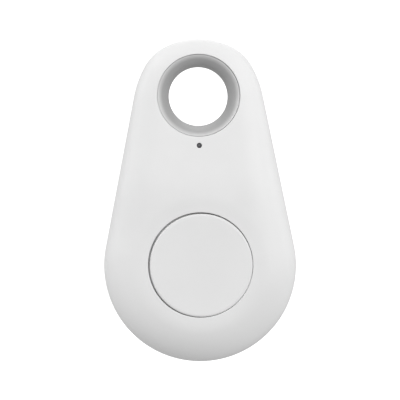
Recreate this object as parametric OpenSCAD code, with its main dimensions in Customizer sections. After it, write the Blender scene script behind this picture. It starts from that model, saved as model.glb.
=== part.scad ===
// Bluetooth tracker tag: a teardrop casing with a key-ring eyelet, a large push button
// and a coin cell behind a snap-on rear cover. Millimetres, +Z up towards the eyelet,
// front face towards -Y. The origin is the centre of the eyelet bore.
//
// Every sub-part is drawn lying on its back: X to the right, Y up the face, Z out of the
// front face with Z = 0 at the seam between the two shells. upright() then stands it up.

/* [Casing] */
// Height from the bottom tip to the top tip
body_h = 52; // [51:0.5:54]
// Thickness at the button
body_t = 11; // [10.8:0.1:12]
// Wall thickness of both shells
wall = 1.2; // [1.0:0.1:1.3]
// Radius of the round lower end
lower_r = 15.5; // [15.5:0.1:16]
// Slope of each face from the button up towards the eyelet, as rise over run
face_slope = 0.11; // [0.08:0.01:0.12]

/* [Eyelet] */
// Bore radius of the eyelet
eyelet_r = 4.75; // [4.6:0.05:5]
// Straight length of the bore
eyelet_land = 1.2; // [0.8:0.2:2]
// Outer radius of the eyelet ring
ring_r = 6.6; // [6.4:0.05:6.6]
// Eyelet centre below the top tip
eyelet_drop = 9.25; // [9:0.05:9.5]

/* [Button] */
// Radius of the button cap
button_r = 8.22; // [8:0.02:8.26]
// Radius of the opening round the button
button_hole_r = 8.38; // [8.32:0.02:8.5]
// Button centre below the eyelet centre
button_drop = 27.1; // [27:0.05:27.3]
// Travel of the button down to the switch dome
button_travel = 0.25; // [0.15:0.05:0.25]
// Radius of the pinhole in front of the status LED
pinhole_r = 0.42; // [0.36:0.02:0.46]
// Pinhole below the eyelet centre
pinhole_drop = 8.05; // [8:0.05:8.5]

/* [Board and cell] */
// Thickness of the circuit board
pcb_t = 1; // [0.8:0.1:1]
// Radius of the coin cell
cell_r = 10; // [10:0.5:10]
// Thickness of the coin cell
cell_t = 3.2; // [2.5:0.1:3.2]

/* [Hidden] */
$fn = 64;

// Outline of the casing: tangent arcs from the top tip, a straight side, the lower end
half_t = body_t / 2;
top_y = eyelet_drop;
lower_y = eyelet_drop - body_h + lower_r;
top_r = 12;
top_angle = 25;
shoulder_r = 8;
shoulder_angle = 62;
side_angle = 78.8;

// Rounding from the side wall into the faces
edge_h = 0.8;
round_top = 4;
round_low = 7.5;
slope_start = lower_y + 9.75;
slope_blend = 6;
round_steps = 8;

// Fits and gaps
ring_hole_r = ring_r + 0.04;
collar_r = 7.3;
ring_flange_r = 7.2;
ring_flange_front = 1.25;
ring_flange_rear = -0.4;
lip_gap = 0.15;
lip_w = 0.5;
lip_h = 0.5;
over = 1;

// Stack behind the button, measured from the seam
inner_face = half_t - wall;
button_flange_r = button_r + 0.75;
button_flange_t = 0.5;
button_flange_z = inner_face - 0.15;
pcb_front = 0.2 + pcb_t;
pcb_back = 0.2;
pcb_inset = 2.1;
pcb_clear_r = 7.6;
screw_hole_r = 0.6;
cell_front = -0.2;
cell_back = cell_front - cell_t;
holder_r = cell_r + 1;
screw_x = 7.6;
screw_y = -13;
post_angle = 45;
post_reach = 12.6;

led_t = 0.6;
led_top = pcb_front + led_t;

// Tactile switch on the front of the board, in line with the button
switch_w = 5.2;
switch_base_t = 1.1;
switch_cover_t = 0.2;
switch_top = pcb_front + switch_base_t;
switch_pocket_r = 2.1;
switch_floor_t = 0.25;
dome_r = 1.9;
dome_rise = 0.3;
dome_t = 0.06;
dome_foot = pcb_front + switch_floor_t + 0.02;
plunger_r = 1.25;
plunger_top = pcb_front + 1.7;
plunger_plate_r = 1.8;
plunger_plate_t = 0.2;
plunger_plate_z = dome_foot + dome_rise + button_travel + 0.03;

// Tangent arcs run clockwise by heading, which is the angle of the outward normal from +Y
function heading(a) = [sin(a), cos(a)];
top_c = [0, top_y - top_r];
shoulder_c = top_c + (top_r - shoulder_r) * heading(top_angle);
shoulder_end = shoulder_c + shoulder_r * heading(shoulder_angle);
lower_c = [0, lower_y];
lower_start = lower_c + lower_r * heading(side_angle);
flank_r = (lower_start - shoulder_end) * heading(side_angle)
          / (1 - cos(side_angle - shoulder_angle));
flank_c = shoulder_end - flank_r * heading(shoulder_angle);
flank_end = flank_c + flank_r * heading(side_angle);

// Each outline point is [x, y, heading]
function arc(c, r, a0, a1, n) = [
    for (i = [0:n - 1]) let (a = a0 + (a1 - a0) * i / n, p = c + r * heading(a)) [p.x, p.y, a]];
function straight(a, b, angle, n) = [
    for (i = [0:n - 1]) let (p = a + (b - a) * i / n) [p.x, p.y, angle]];

right_side = concat(
    arc(top_c, top_r, 0, top_angle, 5),
    arc(shoulder_c, shoulder_r, top_angle, shoulder_angle, 6),
    arc(flank_c, flank_r, shoulder_angle, side_angle, 4),
    straight(flank_end, lower_start, side_angle, 6),
    arc(lower_c, lower_r, side_angle, 180, 16),
    [[0, lower_y - lower_r, 180]]);
side_n = len(right_side) - 1;
outline = concat(right_side, [for (i = [side_n - 1:-1:1])
    let (p = right_side[i]) [-p.x, p.y, -p.z]]);
outline_n = len(outline);

// Width of the rounding at an outline point, and height of the flat face at y
function round_w(y) = round_top + (round_low - round_top) * min(1, (top_y - y) / (top_y - lower_y));
function past(u) = u < 0 ? 0 : u < slope_blend ? u * u / (2 * slope_blend) : u - slope_blend / 2;
function face_h(y) = half_t - face_slope * past(y - slope_start);

// Outline moved inwards by a distance, and the height of the casing above any point
function inset(p, d) = [p.x, p.y] - d * heading(p.z);
function gap_to(q, x, y) = ([q.x, q.y] - [x, y]) * heading(q.z);
function surface_h(x, y) =
    let (gaps = [for (q = outline) gap_to(q, x, y)],
         d = min(gaps),
         q = outline[search(d, gaps)[0]],
         f = max(0, 1 - d / round_w(q.y)))
    edge_h + (face_h(y) - edge_h) * sqrt(1 - f * f);

// One half of the casing as rings of points: skin is how far it lies below the outer surface
function ring_at(skin, turn) = [
    for (q = outline)
    let (w = round_w(q.y),
         p = inset(q, skin + (w - skin) * (1 - cos(turn))))
    [p.x, p.y, edge_h + (face_h(p.y) - skin - edge_h) * sin(turn)]];
function base_ring(skin, z) = [
    for (q = outline) let (p = inset(q, skin)) [p.x, p.y, z]];

module half_casing(skin, base_z) {
    n = outline_n;
    rings = concat([base_ring(skin, base_z)],
                   [for (k = [0:round_steps]) ring_at(skin, 90 * k / round_steps)]);
    last = (len(rings) - 1) * n;
    polyhedron(
        points = [for (r = rings, p = r) p],
        faces = concat(
            [[for (i = [0:n - 1]) n - 1 - i]],
            [for (k = [0:len(rings) - 2], i = [0:n - 1], f = [0, 1])
                let (a = k * n + i, b = k * n + (i + 1) % n)
                f == 0 ? [a, b, b + n] : [a, b + n, a + n]],
            [for (i = [0:side_n - 1], f = [0, 1])
                if (!(f == 0 && i == side_n - 1) && !(f == 1 && i == 0))
                let (r0 = last + i, r1 = last + i + 1,
                     l0 = last + (n - i) % n, l1 = last + n - i - 1)
                f == 0 ? [r0, r1, l1] : [r0, l1, l0]]));
}

module upright() {
    rotate([90, 0, 0]) children();
}

module tube(r, bore, z0, z1) {
    difference() {
        translate([0, 0, z0]) cylinder(r = r, h = z1 - z0);
        translate([0, 0, z0 - over]) cylinder(r = bore, h = z1 - z0 + 2 * over);
    }
}

module disc(r, z0, z1) {
    translate([0, 0, z0]) cylinder(r = r, h = z1 - z0);
}

module block(size, at) {
    translate([at.x - size.x / 2, at.y - size.y / 2, at.z]) cube(size);
}

module inset_plate(d, z0, z1) {
    translate([0, 0, z0]) linear_extrude(z1 - z0) polygon([for (q = outline) inset(q, d)]);
}

module at_button() {
    translate([0, -button_drop, 0]) children();
}

module at_screws() {
    for (s = [-1, 1]) translate([s * screw_x, screw_y, 0]) children();
}

module at_posts() {
    for (s = [-1, 1])
        at_button() rotate([0, 0, s * post_angle]) translate([0, -post_reach, 0]) children();
}

// Front shell: screw bosses and posts stand in its cavity, and a collar holds the eyelet ring
boss_r = 1.4;
boss_hole_r = 0.55;
boss_hole_depth = 2.4;
post_r = 0.8;

module front_cavity() {
    difference() {
        half_casing(wall, -over);
        disc(collar_r, ring_flange_front, body_t);
        at_screws() disc(boss_r, pcb_front, body_t);
        at_posts() disc(post_r, pcb_front, body_t);
    }
}

module front_shell() {
    color("white") upright() difference() {
        half_casing(0, 0);
        front_cavity();
        disc(ring_hole_r, -over, body_t);
        at_button() disc(button_hole_r, inner_face - over, body_t);
        translate([0, -pinhole_drop, 0]) disc(pinhole_r, pcb_front, body_t);
        at_screws() disc(boss_hole_r, pcb_front - over, pcb_front + boss_hole_depth);
    }
}

// Rear shell: a lip enters the front shell, a collar clamps the ring, a notch takes a coin edge
pry_w = 5;
pry_h = 0.6;
pry_depth = 0.7;
pry_angle = 125;

module rear_lip() {
    difference() {
        union() {
            inset_plate(wall + lip_gap, -lip_h, over);
            inset_plate(wall - 0.1, 0, over);
        }
        inset_plate(wall + lip_gap + lip_w, -over, 2 * over);
    }
}

module pry_notch() {
    translate([0, lower_y, 0]) rotate([0, 0, pry_angle])
        translate([0, lower_r, 0]) cube([pry_w, 2 * pry_depth, 2 * pry_h], center = true);
}

module rear_shell() {
    color("white") upright() mirror([0, 0, 1]) difference() {
        union() {
            difference() {
                half_casing(0, 0);
                difference() {
                    half_casing(wall, -over);
                    disc(collar_r, 0.05 - ring_flange_rear, body_t);
                }
            }
            rear_lip();
        }
        disc(ring_hole_r, -over, body_t);
        pry_notch();
    }
}

// Eyelet ring: its flared ends follow the faces of the casing
flare_n = 48;
flare_steps = 6;
flare_turn = 45;
flare_foot = eyelet_r + 0.05;

function flare_point(a, k, side) =
    let (turn = flare_turn * k / flare_steps,
         r = flare_foot + (ring_r - flare_foot) * (1 - cos(turn)) / (1 - cos(flare_turn)),
         x = r * cos(a), y = r * sin(a),
         rim = surface_h(ring_r * cos(a), ring_r * sin(a)),
         foot = eyelet_land / 2)
    [x, y, side * (foot + (rim - foot) * sin(turn) / sin(flare_turn))];
function throat_point(a, side) =
    let (r = eyelet_r - 0.2) [r * cos(a), r * sin(a), side * eyelet_land / 2];

module ring_body() {
    angles = [for (i = [0:flare_n - 1]) 360 * i / flare_n];
    loops = concat(
        [[for (a = angles) throat_point(a, 1)]],
        [for (k = [0:flare_steps]) [for (a = angles) flare_point(a, k, 1)]],
        [for (k = [flare_steps:-1:0]) [for (a = angles) flare_point(a, k, -1)]],
        [[for (a = angles) throat_point(a, -1)]]);
    m = len(loops);
    polyhedron(
        points = [for (l = loops, p = l) p],
        faces = [for (k = [0:m - 1], i = [0:flare_n - 1], f = [0, 1])
            let (a = k * flare_n + i, b = k * flare_n + (i + 1) % flare_n,
                 c = ((k + 1) % m) * flare_n + (i + 1) % flare_n,
                 d = ((k + 1) % m) * flare_n + i)
            f == 0 ? [a, b, c] : [a, c, d]]);
}

module eyelet_ring() {
    color("gainsboro") upright() difference() {
        union() {
            ring_body();
            disc(ring_flange_r, ring_flange_rear, ring_flange_front);
        }
        disc(eyelet_r, -body_t, body_t);
    }
}

// Light pipe: a clear pin in the pinhole, held by a small flange behind the sloping wall
pipe_recess = 0.35;
pipe_flange_r = pinhole_r + 0.2;
pipe_flange_t = 0.35;
pipe_flange_gap = 0.15;

module light_pipe() {
    face = face_h(-pinhole_drop);
    flange_front = face - wall - pipe_flange_gap;
    color("lightgray") upright() translate([0, -pinhole_drop, 0]) {
        disc(pinhole_r - 0.02, led_top + 0.15, face - pipe_recess);
        disc(pipe_flange_r, flange_front - pipe_flange_t, flange_front);
    }
}

// Circuit board
module pcb() {
    color("darkgreen") upright() difference() {
        inset_plate(pcb_inset, pcb_back, pcb_front);
        disc(pcb_clear_r, -over, 2 * over);
        translate([-lower_r, 0, -over]) cube([2 * lower_r, body_h, 3 * over]);
        at_screws() disc(screw_hole_r, -over, 2 * over);
    }
}

screw_head_r = 1.1;
screw_head_t = 0.7;
screw_shank_r = 0.5;
screw_reach = 2.2;
cross_w = 1.3;
cross_slot = 0.25;
cross_depth = 0.35;

module pcb_screws() {
    head_back = pcb_back - screw_head_t;
    color("silver") upright() at_screws() difference() {
        union() {
            disc(screw_head_r, head_back, pcb_back);
            disc(screw_shank_r, head_back, pcb_front + screw_reach);
        }
        for (turn = [0, 90]) rotate([0, 0, turn])
            block([cross_w, cross_slot, cross_depth], [0, 0, head_back - 0.05]);
    }
}

// Tactile switch: a base with a pocket, a steel cover, a snap dome and the plunger above it
module switch_base() {
    color("dimgray") upright() at_button() difference() {
        block([switch_w, switch_w, switch_base_t], [0, 0, pcb_front]);
        disc(switch_pocket_r, pcb_front + switch_floor_t, switch_top + over);
    }
}

module switch_cover() {
    color("silver") upright() at_button() difference() {
        block([switch_w, switch_w, switch_cover_t], [0, 0, switch_top]);
        disc(plunger_r + 0.1, pcb_front, switch_top + over);
    }
}

module switch_dome() {
    // A shallow spherical cap: the sphere radius follows from its rim radius and rise
    ball_r = (dome_r * dome_r + dome_rise * dome_rise) / (2 * dome_rise);
    color("gold") upright() at_button() intersection() {
        translate([0, 0, dome_foot + dome_rise - ball_r]) difference() {
            sphere(r = ball_r, $fn = 96);
            sphere(r = ball_r - dome_t, $fn = 96);
        }
        disc(dome_r, dome_foot, dome_foot + over);
    }
}

module switch_plunger() {
    color("black") upright() at_button() {
        disc(plunger_r, plunger_plate_z, plunger_top);
        disc(plunger_plate_r, plunger_plate_z, plunger_plate_z + plunger_plate_t);
    }
}

// Chips and small parts soldered to the front of the board
module chip(size, spot) {
    upright() block(size, [spot.x, spot.y, pcb_front]);
}

module ble_chip() {
    color("black") chip([5, 5, 0.85], [0, -12.6]);
}

module crystal_main() {
    color("silver") chip([2.5, 3.2, 0.7], [-5, -11.2]);
}

module crystal_rtc() {
    color("silver") chip([1.5, 3.2, 0.75], [4.6, -12.6]);
}

module chip_antenna() {
    color("white") chip([2, 5.2, 1.1], [8, -7.6]);
}

module status_led() {
    color("ivory") chip([1.6, 0.8, led_t], [0, -pinhole_drop - 0.15]);
}

capacitor_spots = [[-2.2, -9.2], [2.2, -9.2], [-1.5, -16.2], [0.3, -16.2], [2.1, -16.2],
                   [5.8, -9.9], [-8, -8.6], [-8, -7.2]];
resistor_spots = [[-5, -14.6], [-5, -16], [4.6, -15.8], [-4.5, -30.5], [4.5, -30.5],
                  [-4.5, -24], [4.5, -24]];
inductor_spots = [[-6.2, -8.4], [6.2, -8]];

module capacitors() {
    color("tan") for (spot = capacitor_spots) chip([1, 0.5, 0.5], spot);
}

module resistors() {
    color("black") for (spot = resistor_spots) chip([1, 0.5, 0.35], spot);
}

module inductors() {
    color("dimgray") for (spot = inductor_spots) chip([0.8, 1.6, 0.8], spot);
}

// Buzzer on the back of the board, between the cell and the eyelet
buzzer_w = 7.5;
buzzer_y = -12;
buzzer_base_t = 0.5;
buzzer_t = 2.5;

module buzzer_base() {
    color("dimgray") upright()
        block([buzzer_w + 0.6, buzzer_w, buzzer_base_t], [0, buzzer_y, pcb_back - buzzer_base_t]);
}

buzzer_wall = 0.5;
buzzer_top_t = 0.6;
sound_hole_r = 0.8;

module buzzer_case() {
    case_t = buzzer_t - buzzer_base_t;
    case_back = pcb_back - buzzer_t;
    hollow_w = buzzer_w - 2 * buzzer_wall;
    color("black") upright() difference() {
        block([buzzer_w, buzzer_w, case_t], [0, buzzer_y, case_back]);
        translate([0, buzzer_y, 0]) disc(sound_hole_r, case_back - over, case_back + buzzer_top_t);
        block([hollow_w, hollow_w, case_t], [0, buzzer_y, case_back + buzzer_top_t]);
    }
}

// Coin cell holder and its contacts on the back of the board
contact_w = 4;
contact_t = 0.2;
contact_drop = 3.3;
contact_foot = 1.4;
holder_depth = 2.4;
spring_r = 3;
spring_t = 0.15;
spring_z = cell_front + 0.25;
spring_tip_r = 1.2;

module battery_holder() {
    color("black") upright() at_button() difference() {
        union() {
            tube(holder_r, cell_r + 0.15, cell_front - holder_depth, pcb_back);
            tube(cell_r + 0.5, cell_r - 1, cell_front + 0.05, pcb_back);
        }
        block([3, contact_w + 0.6, 4], [cell_r + 0.9, 0, -3]);
    }
}

module contact_positive() {
    color("gold") upright() at_button() {
        block([contact_t, contact_w, contact_drop], [cell_r + 0.15, 0, pcb_back - contact_drop]);
        block([contact_foot, contact_w, contact_t], [cell_r + 0.75, 0, pcb_back - contact_t]);
    }
}

module contact_negative() {
    color("gold") upright() at_button() {
        disc(spring_r, spring_z, pcb_back);
        block([7, 1.6, spring_t], [4, 0, spring_z]);
        disc(spring_tip_r, cell_front + 0.03, spring_z + 0.05);
    }
}

// Coin cell: the can is the positive side, the cap faces the board
can_t = 0.3;
gasket_t = 0.6;
can_lip = cell_front - 0.25;
cap_shoulder = cell_front - 0.2;
foam_r = 6;

module cell_can() {
    color("silver") upright() at_button() difference() {
        disc(cell_r, cell_back, can_lip);
        disc(cell_r - can_t, cell_back + can_t, cell_front + over);
    }
}

module cell_gasket() {
    color("dimgray") upright() at_button()
        tube(cell_r - can_t, cell_r - can_t - gasket_t, cell_back + can_t, cap_shoulder);
}

module cell_cap() {
    cap_r = cell_r - can_t - gasket_t;
    color("lightgray") upright() at_button() {
        disc(cap_r, cell_back + can_t, cap_shoulder);
        disc(cap_r - 0.5, cap_shoulder - 0.1, cell_front);
    }
}

module foam_pad() {
    color("dimgray") upright() at_button() disc(foam_r, -inner_face, cell_back - 0.05);
}

// Button: a dished cap with a flange behind the shell and a nub over the switch
button_sunk = 0.1;
button_dish = 0.12;
button_skin = 1;
button_edge = 0.15;
nub_r = 1.5;
dish_steps = 5;

module button_cap() {
    face = half_t - button_sunk;
    under = face - button_dish - button_skin;
    skirt_r = button_r - 1;
    flange_back = button_flange_z - button_flange_t;
    face_r = button_r - button_edge;
    color("white") upright() at_button() {
        rotate_extrude($fn = 128) polygon(concat(
            [[0, under], [skirt_r, under], [skirt_r, flange_back],
             [button_flange_r, flange_back], [button_flange_r, button_flange_z],
             [button_r, button_flange_z], [button_r, face - button_edge], [face_r, face]],
            [for (k = [dish_steps - 1:-1:0]) let (f = k / dish_steps)
                [face_r * f, face - button_dish * (1 - f * f)]]));
        disc(nub_r, plunger_top + 0.02, under + button_skin / 2);
    }
}

front_shell();
eyelet_ring();
light_pipe();
pcb();
pcb_screws();
switch_base();
switch_cover();
switch_dome();
ble_chip();
crystal_main();
crystal_rtc();
chip_antenna();
status_led();
capacitors();
resistors();
inductors();
buzzer_base();
buzzer_case();
battery_holder();
contact_positive();
contact_negative();
button_cap();
switch_plunger();
cell_can();
cell_cap();
cell_gasket();
rear_shell();
foam_pad();
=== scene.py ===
"""Bluetooth tracker tag: white teardrop casing with an eyelet, a push button and its inner parts.

Shapes are worked out in millimetres on a tag that lies on its back: x to the right, y up the
face, z out of the front face, with z = 0 at the seam. to_world() stands it up in the CAD frame.
"""
import math

import bmesh
import bpy
from mathutils import Matrix, Vector
from mathutils.geometry import area_tri, delaunay_2d_cdt
from mathutils.noise import noise as noise_at


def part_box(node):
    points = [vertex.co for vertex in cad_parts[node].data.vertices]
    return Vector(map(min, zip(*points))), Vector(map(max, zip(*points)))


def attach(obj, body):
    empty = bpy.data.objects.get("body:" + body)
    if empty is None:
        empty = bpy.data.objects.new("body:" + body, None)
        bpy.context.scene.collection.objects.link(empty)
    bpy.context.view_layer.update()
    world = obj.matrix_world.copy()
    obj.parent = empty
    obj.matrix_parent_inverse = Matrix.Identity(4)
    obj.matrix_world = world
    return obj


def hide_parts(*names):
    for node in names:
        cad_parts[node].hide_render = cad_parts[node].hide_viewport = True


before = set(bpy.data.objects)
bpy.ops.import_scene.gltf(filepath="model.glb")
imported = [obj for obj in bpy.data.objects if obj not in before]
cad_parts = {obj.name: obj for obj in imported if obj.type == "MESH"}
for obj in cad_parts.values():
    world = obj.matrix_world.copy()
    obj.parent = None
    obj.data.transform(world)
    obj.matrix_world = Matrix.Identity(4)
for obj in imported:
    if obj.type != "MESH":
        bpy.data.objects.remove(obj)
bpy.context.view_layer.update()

MM = 0.001

# ---------------------------------------------------------------- driving dimensions, mm
HALF_T = -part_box("front_shell")[0].y / MM
TOP_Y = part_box("front_shell")[1].z / MM
BOTTOM_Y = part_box("front_shell")[0].z / MM
WALL = 1.2
LOWER_R = 15.5
LOWER_Y = BOTTOM_Y + LOWER_R
LIP_GAP, LIP_W, LIP_H, LIP_EDGE = 0.15, 0.5, 0.5, 0.08
TOP_R, TOP_ANGLE = 12.0, 25.0
SHOULDER_R, SHOULDER_ANGLE = 8.0, 62.0
SIDE_ANGLE = 78.8
EDGE_H = 0.8
HALF_SEAM = 0.004  # half the gap between the two shells
SEAM_CHAMFER = 0.14
ROUND_TOP, ROUND_LOW = 4.0, 7.5
FACE_SLOPE = 0.11
SLOPE_START = LOWER_Y + 9.75
SLOPE_BLEND = 6.0

EYELET_R = 4.75
EYELET_LAND = 1.2
RING_R = 6.6
RING_HOLE_R = 6.64
COLLAR_R, FRONT_COLLAR_H, REAR_COLLAR_H = 7.3, 1.25, 0.45
RING_FLANGE_R, RING_FLANGE_FRONT, RING_FLANGE_BACK = 7.2, 1.25, -0.4
BUTTON_Y = (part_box("button_cap")[0].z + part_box("button_cap")[1].z) / 2 / MM
BUTTON_R = 8.22
BUTTON_HOLE_R = 8.38
BUTTON_FACE = -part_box("button_cap")[0].y / MM
BUTTON_FILLET = 0.07
DISH_DEPTH = 0.12
DISH_W = 2.6
PIN_Y = (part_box("light_pipe")[0].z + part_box("light_pipe")[1].z) / 2 / MM
PIN_R = 0.42
PIN_FILLET = 0.05
EYE_FILLET = 0.12
RING_SUNK, RING_LEAN, LEAN_HEADING = 0.07, 0.06, 60
RING_EDGE = 0.08
FLARE_TURN, FLARE_STEPS = 52, 16
BUTTON_SHIFT = Vector((0.115, -0.065))
RING_SHIFT = Vector((-0.02, -0.02))

PCB_FRONT = -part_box("pcb")[0].y / MM
PCB_BACK = -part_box("pcb")[1].y / MM
SCREW_X, SCREW_Y = 7.6, -13
BOSS_R, BORE_R, BORE_DEPTH = 1.4, 0.55, 2.4
POST_R, POST_REACH = 0.8, 12.6
POST_SPOTS = [(side * POST_REACH * math.sin(math.radians(45)),
               BUTTON_Y - POST_REACH * math.cos(math.radians(45))) for side in (-1, 1)]
NOTCH_ANGLE, NOTCH_SIZE = 125, (5, 1.4, 1.2)
CELL_R = (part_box("cell_can")[1].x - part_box("cell_can")[0].x) / 2 / MM
CELL_BACK = -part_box("cell_can")[1].y / MM


# ---------------------------------------------------------------- casing form
def heading(angle):
    """Unit vector at an angle in degrees clockwise from +y."""
    return Vector((math.sin(math.radians(angle)), math.cos(math.radians(angle))))


TOP_C = Vector((0, TOP_Y - TOP_R))
SHOULDER_C = TOP_C + (TOP_R - SHOULDER_R) * heading(TOP_ANGLE)
SHOULDER_END = SHOULDER_C + SHOULDER_R * heading(SHOULDER_ANGLE)
LOWER_C = Vector((0, LOWER_Y))
LOWER_START = LOWER_C + LOWER_R * heading(SIDE_ANGLE)
FLANK_R = (LOWER_START - SHOULDER_END).dot(heading(SIDE_ANGLE)) / (
    1 - math.cos(math.radians(SIDE_ANGLE - SHOULDER_ANGLE)))
FLANK_C = SHOULDER_END - FLANK_R * heading(SHOULDER_ANGLE)
FLANK_END = FLANK_C + FLANK_R * heading(SIDE_ANGLE)
# (centre, radius, first heading, last heading, steps in the mesh)
ARCS = [(TOP_C, TOP_R, 0, TOP_ANGLE, 20),
        (SHOULDER_C, SHOULDER_R, TOP_ANGLE, SHOULDER_ANGLE, 24),
        (FLANK_C, FLANK_R, SHOULDER_ANGLE, SIDE_ANGLE, 16),
        (LOWER_C, LOWER_R, SIDE_ANGLE, 180, 72)]
STRAIGHT_STEPS = 56


def outline():
    """The casing's outline, anticlockwise, as (point, heading of the outward normal)."""
    side = []
    for centre, r, first, last, steps in ARCS:
        if r == LOWER_R:
            side += [(FLANK_END.lerp(LOWER_START, i / STRAIGHT_STEPS), SIDE_ANGLE)
                     for i in range(STRAIGHT_STEPS)]
        for i in range(steps):
            a = first + (last - first) * i / steps
            side.append((centre + r * heading(a), a))
    side.append((LOWER_C + LOWER_R * heading(180), 180))
    left = [(Vector((-p.x, p.y)), -a) for p, a in side[1:-1]]
    return list(reversed(side)) + left


OUTLINE = outline()


def round_w(y):
    return ROUND_TOP + (ROUND_LOW - ROUND_TOP) * min(1, (TOP_Y - y) / (TOP_Y - LOWER_Y))


def face_h(y):
    """Height of the face: level round the button, sloping down towards the eyelet."""
    u = y - SLOPE_START
    if u < 0:
        return HALF_T
    run = u * u / (2 * SLOPE_BLEND) if u < SLOPE_BLEND else u - SLOPE_BLEND / 2
    return HALF_T - FACE_SLOPE * run


def edge_distance(x, y):
    """Distance in from the outline, and the outline's y there."""
    p = Vector((abs(x), y))
    best = ((LOWER_START - p).dot(heading(SIDE_ANGLE)), y)
    for centre, r, first, last, _ in ARCS:
        out = p - centre
        angle = math.degrees(math.atan2(out.x, out.y))
        if first <= angle <= last and r - out.length < best[0]:
            best = (r - out.length, centre.y + r * math.cos(math.radians(angle)))
    return best


def rounding(depth, width):
    """0 at the edge of the rounding, 1 where it meets the face."""
    f = max(0.0, 1 - depth / width)
    return math.sqrt(1 - f * f)


def smooth(t):
    t = min(1.0, max(0.0, t))
    return t * t * (3 - 2 * t)


def outer_h(x, y):
    depth, at = edge_distance(x, y)
    return EDGE_H + (face_h(y) - EDGE_H) * rounding(depth, round_w(at))


def front_h(x, y):
    """The front face dips a little round the button."""
    away = math.hypot(x, y - BUTTON_Y) - BUTTON_HOLE_R
    return outer_h(x, y) - DISH_DEPTH * (1 - smooth(away / DISH_W))


def inner_h(x, y):
    depth, at = edge_distance(x, y)
    return EDGE_H + (face_h(y) - WALL - EDGE_H) * rounding(depth - WALL, round_w(at) - WALL)


# ---------------------------------------------------------------- mesh building
def to_world(p):
    return Vector((p[0], -p[2], p[1])) * MM


class Skin:
    """A mesh put together from loops of points, in millimetres."""

    def __init__(self):
        self.points = []
        self.faces = []

    def loop(self, points):
        start = len(self.points)
        self.points += [tuple(p) for p in points]
        return list(range(start, len(self.points)))

    def ring(self, centre, r, height, n):
        """A circle, with its height either a number or a function of x and y."""
        out = []
        for i in range(n):
            a = 2 * math.pi * i / n
            x, y = centre[0] + r * math.cos(a), centre[1] + r * math.sin(a)
            out.append((x, y, height(x, y) if callable(height) else height))
        return self.loop(out)

    def join(self, *loops):
        for a, b in zip(loops, loops[1:]):
            n = len(a)
            for i in range(n):
                j = (i + 1) % n
                self.faces.append((a[i], a[j], b[j], b[i]))

    def cap(self, loop, height=None):
        """Closes a round loop with a fan."""
        centre = [sum(self.points[i][k] for i in loop) / len(loop) for k in range(3)]
        if height is not None:
            centre[2] = height
        middle = self.loop([centre])[0]
        self.faces += [(loop[i], loop[(i + 1) % len(loop)], middle) for i in range(len(loop))]

    def turned(self, centre, profile, n):
        """A body of rings at (radius, height), closed at both ends."""
        rings = [self.ring(centre, r, z, n) for r, z in profile]
        self.join(*rings)
        self.cap(rings[0])
        self.cap(rings[-1])

    def fill(self, outside, holes, extra, height):
        """Triangulates between an outer loop and round hole loops, through extra points."""
        loops = [outside] + [loop for loop, _, _ in holes]
        index = [i for loop in loops for i in loop]
        flat = [Vector(self.points[i][:2]) for i in index]
        edges, at = [], 0
        for loop in loops:
            n = len(loop)
            edges += [(at + i, at + (i + 1) % n) for i in range(n)]
            at += n
        flat += [Vector(p) for p in extra]
        verts, _, faces, sources, _, _ = delaunay_2d_cdt(flat, edges, [], 0, 1e-6)
        where = []
        for v, source in zip(verts, sources):
            known = [s for s in source if s < len(index)]
            where.append(index[known[0]] if known
                         else self.loop([(v.x, v.y, height(v.x, v.y))])[0])
        thin = 1e-5
        for f in faces:
            corners = [verts[i] for i in f]
            middle = sum(corners, Vector((0, 0))) / len(f)
            solid = all((middle - Vector(c)).length > r for _, c, r in holes)
            if solid and area_tri(*(v.to_3d() for v in corners)) > thin:
                self.faces.append([where[i] for i in f])

    def track(self, points, w, z0, z1):
        """A flat track along a bent line, mitred at its corners, from height z0 to z1."""
        points = [Vector(p) for p in points]
        runs = [(b - a).normalized() for a, b in zip(points, points[1:])]
        loops = []
        for i, p in enumerate(points):
            before, after = runs[max(0, i - 1)], runs[min(i, len(runs) - 1)]
            along = (before + after).normalized()
            side = Vector((-along.y, along.x)) * (w / 2 / along.dot(after))
            loops.append(self.loop([(*(p + side), z0), (*(p + side), z1),
                                    (*(p - side), z1), (*(p - side), z0)]))
        self.join(*loops)
        self.faces += [tuple(loops[0]), tuple(reversed(loops[-1]))]

    def build(self, name, mirrored=False, sharp=40):
        mesh = bpy.data.meshes.new(name)
        side = -1 if mirrored else 1
        mesh.from_pydata([to_world((x, y, side * z)) for x, y, z in self.points], [], self.faces)
        return finish_mesh(name, mesh, sharp)


def mark_sharp(bm, sharp):
    for e in bm.edges:
        e.smooth = len(e.link_faces) == 2 and e.calc_face_angle(0) < math.radians(sharp)


def finish_mesh(name, mesh, sharp=40, weld=True):
    """Cleans a mesh, faces it outwards, marks its sharp edges and links it as an object."""
    bm = bmesh.new()
    bm.from_mesh(mesh)
    if weld:
        bmesh.ops.remove_doubles(bm, verts=bm.verts, dist=1e-8)
    bmesh.ops.recalc_face_normals(bm, faces=bm.faces)
    for f in bm.faces:
        f.smooth = True
    mark_sharp(bm, sharp)
    bm.to_mesh(mesh)
    bm.free()
    piece = bpy.data.objects.new(name, mesh)
    bpy.context.scene.collection.objects.link(piece)
    return piece


def inset_loop(skin, depth, height):
    """The outline moved inwards, with its height a number or a function of x and y."""
    points = []
    for p, a in OUTLINE:
        q = p - depth * heading(a)
        points.append((q.x, q.y, height(q.x, q.y) if callable(height) else height))
    return skin.loop(points)


def inset_height(depth, skin_t, extra=lambda x, y: 0):
    """Heights of a casing surface along a loop inset by depth."""
    def at(point, angle):
        q = point - depth * heading(angle)
        w = round_w(point.y) - skin_t
        h = EDGE_H + (face_h(q.y) - skin_t - EDGE_H) * rounding(depth - skin_t, w)
        return (q.x, q.y, h + extra(q.x, q.y))
    return [at(p, a) for p, a in OUTLINE]


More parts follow.
